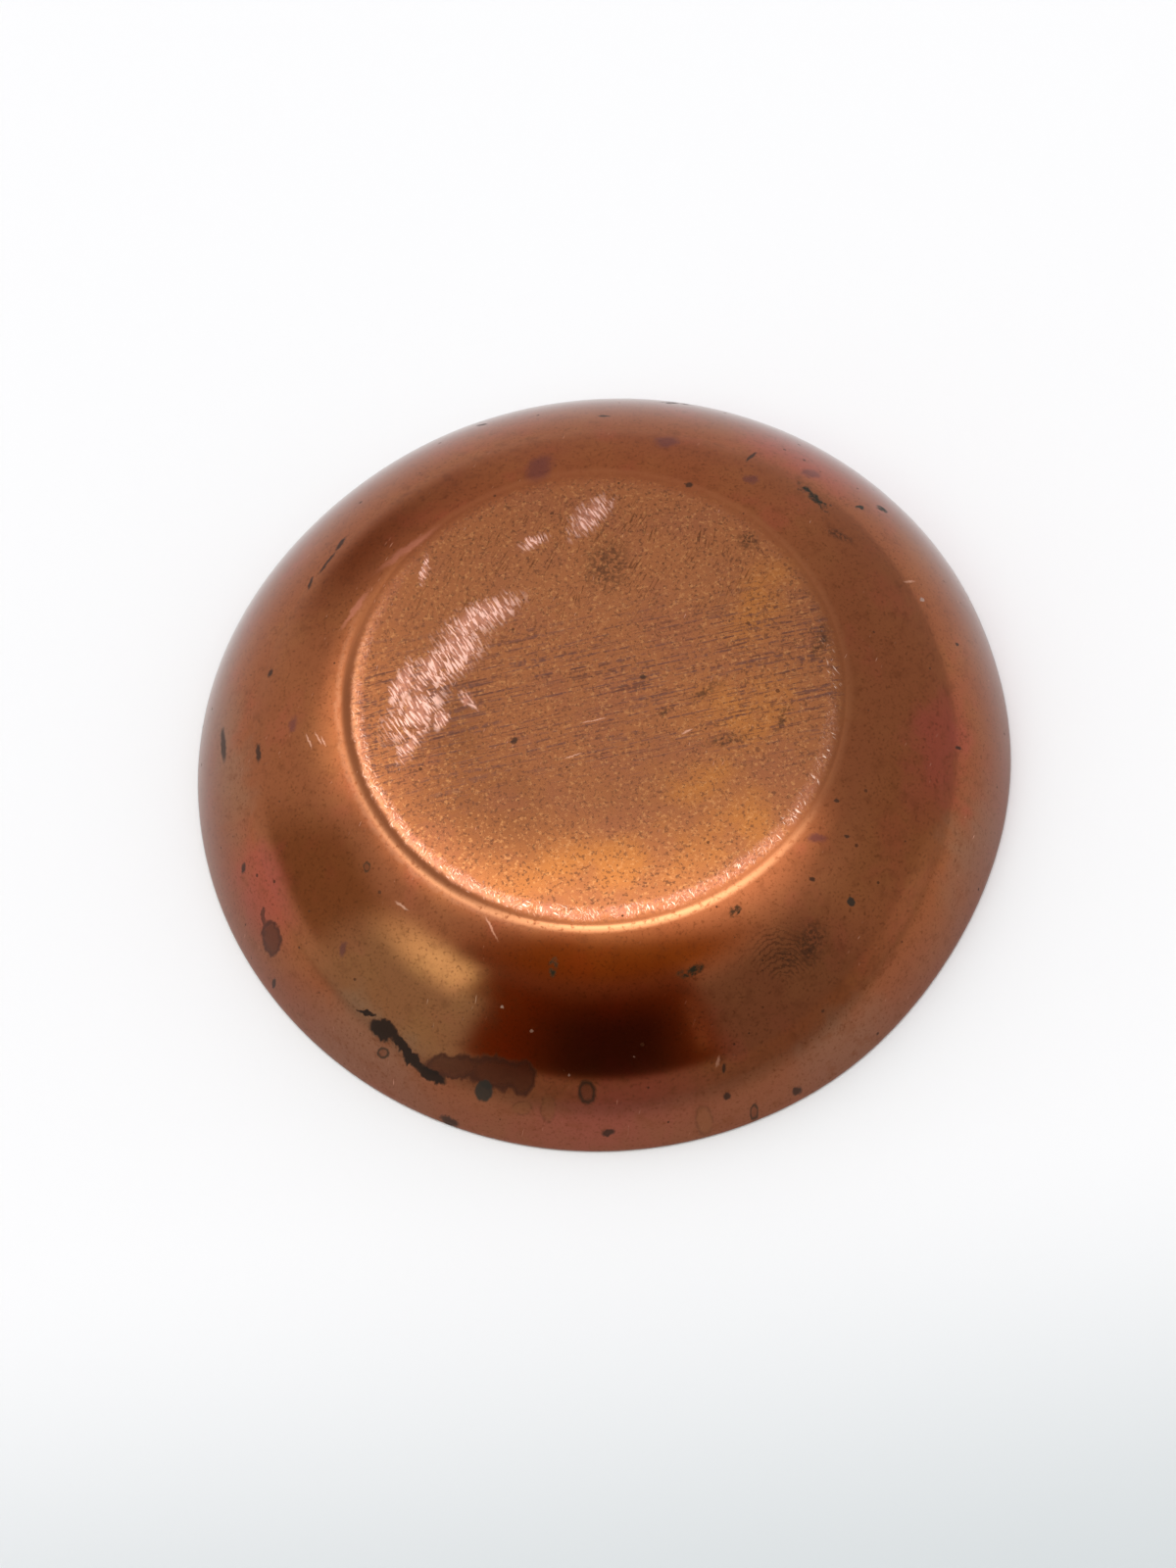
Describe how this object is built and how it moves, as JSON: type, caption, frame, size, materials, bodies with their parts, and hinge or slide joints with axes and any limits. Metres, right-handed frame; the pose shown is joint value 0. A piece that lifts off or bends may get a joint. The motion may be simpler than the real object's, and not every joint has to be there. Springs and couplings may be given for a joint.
{
  "type": "offering bowl",
  "caption": "Small shallow copper bowl spun from a single sheet, with a flat creased foot, rounded wall and plain thin lip, lying mouth down.",
  "frame": {"origin": "centre of the mouth, in the plane of the lip that the bowl lies on", "axes": "+Z along the bowl's axis from the mouth to the foot; a half turn about X stands the bowl on its foot for use"},
  "size_m": [0.085, 0.085, 0.0165],
  "materials": {
    "copper": "aged copper, satin with brown patina and dark stains"
  },
  "bodies": {
    "root": {"bowl": "copper"}
  },
  "joints": []
}
